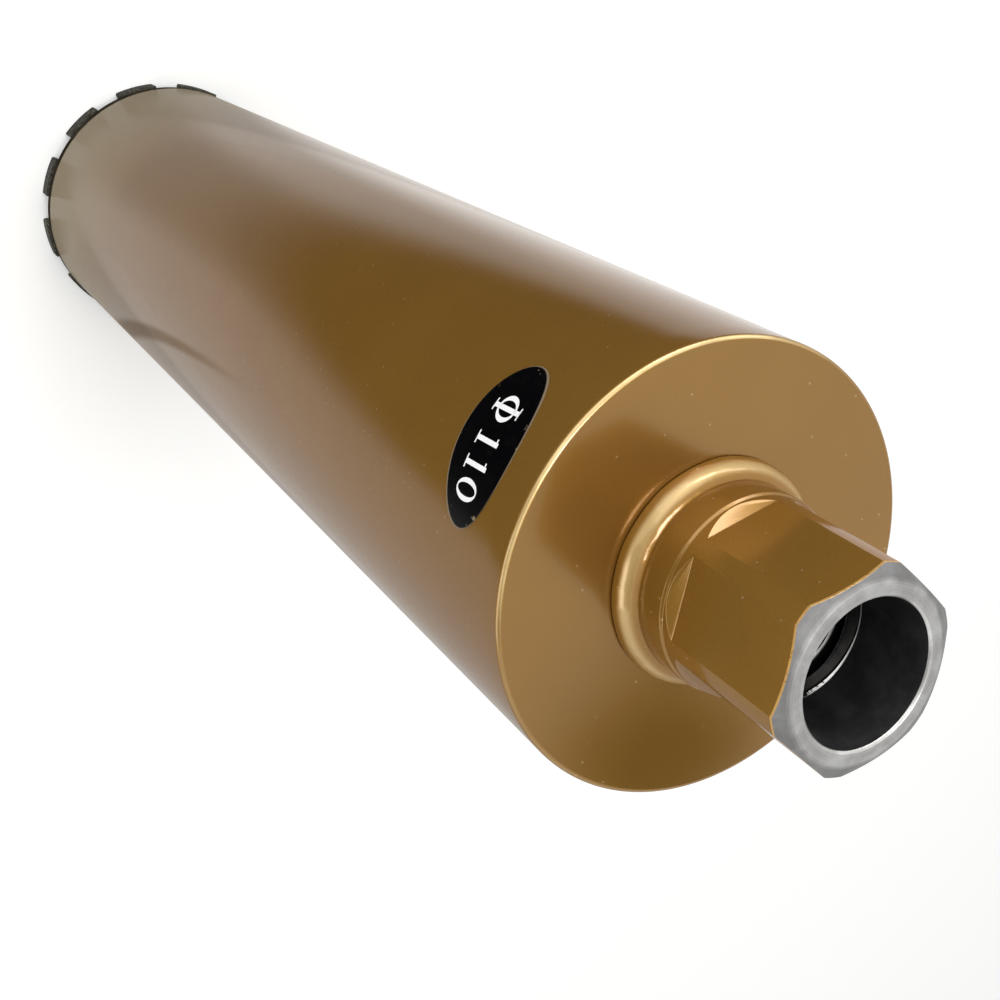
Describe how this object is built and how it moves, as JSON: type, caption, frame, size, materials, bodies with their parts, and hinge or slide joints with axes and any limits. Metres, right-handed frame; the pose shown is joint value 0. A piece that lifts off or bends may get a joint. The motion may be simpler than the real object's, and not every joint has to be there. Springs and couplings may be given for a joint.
{
  "type": "diamond core bit",
  "caption": "Core drill bit: a long painted steel barrel with a crown of cutting segments, an end plate and a welded, threaded hexagon hub.",
  "frame": {"origin": "on the bit's axis, at the cutting plane of the segments that it stands on", "axes": "+Z along the axis from the cutting segments up to the mouth of the hub, -Y through the middle of the oval size label"},
  "size_m": [0.1096, 0.1096, 0.481],
  "materials": {
    "gold_paint": "metallic gold paint, satin",
    "segment_metal": "sintered, fine and gritty",
    "label_film": "smooth printed film"
  },
  "bodies": {
    "root": {"barrel_tube": "gold_paint", "end_plate": "gold_paint", "threaded_hub": "gold_paint", "hub_weld": "gold_paint", "size_label": "label_film", "segment_01": "segment_metal", "segment_02": "segment_metal", "segment_03": "segment_metal", "segment_04": "segment_metal", "segment_05": "segment_metal", "segment_06": "segment_metal", "segment_07": "segment_metal", "segment_08": "segment_metal", "segment_09": "segment_metal", "segment_10": "segment_metal", "segment_11": "segment_metal", "segment_12": "segment_metal"}
  },
  "joints": []
}
